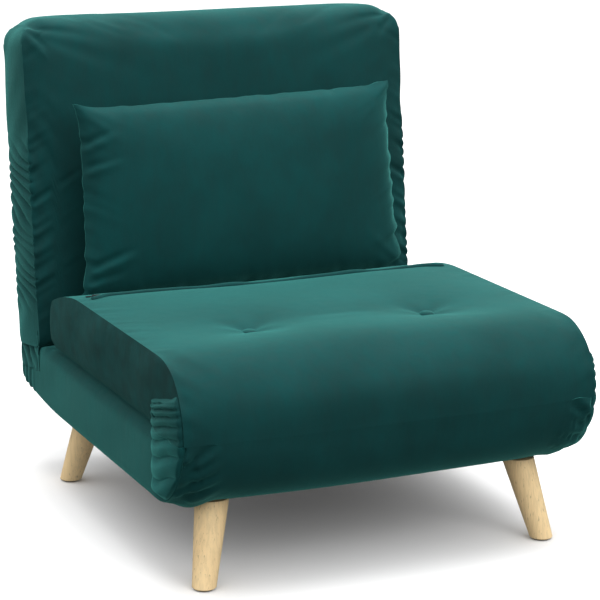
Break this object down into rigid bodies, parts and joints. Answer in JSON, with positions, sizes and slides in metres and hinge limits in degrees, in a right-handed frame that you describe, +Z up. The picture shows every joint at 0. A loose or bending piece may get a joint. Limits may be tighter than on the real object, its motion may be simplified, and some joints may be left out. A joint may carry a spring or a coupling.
{
  "type": "futon sofa bed",
  "caption": "Armless single chair bed with tufted velvet seat, fold-forward seat section, reclining back, loose pillow and splayed turned wooden legs.",
  "frame": {"origin": "on the floor below the middle of the object's box, with the bed folded up as a chair", "axes": "+X to the right in a front view, +Y towards the backrest, +Z up; the front is -Y"},
  "size_m": [0.7, 0.86, 0.7998],
  "materials": {
    "velvet": "deep teal velvet with short brushed pile",
    "foam": "open-cell polyurethane foam",
    "lining": "black non-woven lining and felt",
    "beech": "turned beech, clear satin lacquer",
    "birch": "birch plywood, unfinished",
    "black_steel": "black powder coat",
    "zinc_steel": "zinc-plated steel",
    "rubber": "black moulded rubber"
  },
  "bodies": {
    "base": {"base_frame": "black_steel", "base_slat_1": "birch", "base_slat_2": "birch", "base_slat_3": "birch", "base_foam": "foam", "base_cover": "velvet", "dust_cover": "lining", "leg_front_left": "beech", "leg_bolt_front_left": "zinc_steel", "leg_glide_front_left": "lining", "leg_front_right": "beech", "leg_bolt_front_right": "zinc_steel", "leg_glide_front_right": "lining", "leg_rear_left": "beech", "leg_bolt_rear_left": "zinc_steel", "leg_glide_rear_left": "lining", "leg_rear_right": "beech", "leg_bolt_rear_right": "zinc_steel", "leg_glide_rear_right": "lining", "fold_hinge_base_leaf_left": "zinc_steel", "recline_plate_left": "zinc_steel", "fold_hinge_base_leaf_right": "zinc_steel", "recline_plate_right": "zinc_steel"},
    "seat": {"seat_frame": "black_steel", "seat_slat_1": "birch", "seat_slat_2": "birch", "seat_slat_3": "birch", "seat_foam": "foam", "sleep_foam": "foam", "seat_cover": "velvet", "zip_slider": "zinc_steel", "button_left": "velvet", "button_right": "velvet", "fold_hinge_seat_leaf_left": "zinc_steel", "fold_hinge_seat_leaf_right": "zinc_steel", "fold_hinge_pin_left": "zinc_steel", "fold_hinge_pin_right": "zinc_steel", "foot_bracket_left": "black_steel", "foot_bracket_right": "black_steel"},
    "foot": {"foot_leg": "black_steel", "foot_sleeve_left": "rubber", "foot_sleeve_right": "rubber", "foot_flap": "velvet", "foot_pin_left": "zinc_steel", "foot_pin_right": "zinc_steel"},
    "back": {"back_frame": "black_steel", "back_slat_1": "birch", "back_slat_2": "birch", "back_slat_3": "birch", "back_foam": "foam", "back_cover": "velvet", "recline_arm_left": "zinc_steel", "recline_arm_right": "zinc_steel", "recline_pin_left": "zinc_steel", "recline_pin_right": "zinc_steel"},
    "pillow": {"pillow": "velvet"}
  },
  "joints": [
    {"name": "seat_unfold", "type": "hinge", "parent": "base", "child": "seat", "pos_m": [0, -0.424, 0.248], "axis": [1, 0, 0], "range_deg": [0, 180], "deforming": ["pillow"]},
    {"name": "back_recline", "type": "hinge", "parent": "base", "child": "back", "pos_m": [0, 0.321, 0.17], "axis": [-1, 0, 0], "range_deg": [-8, 83]},
    {"name": "foot_fold", "type": "hinge", "parent": "seat", "child": "foot", "pos_m": [0, 0.04, 0.345], "axis": [1, 0, 0], "range_deg": [0, 102], "deforming": ["pillow"]},
    {"name": "pillow_lift", "type": "slide", "parent": "back", "child": "pillow", "axis": [0, 0.1219, 0.9925], "range_m": [0, 0.11]}
  ]
}
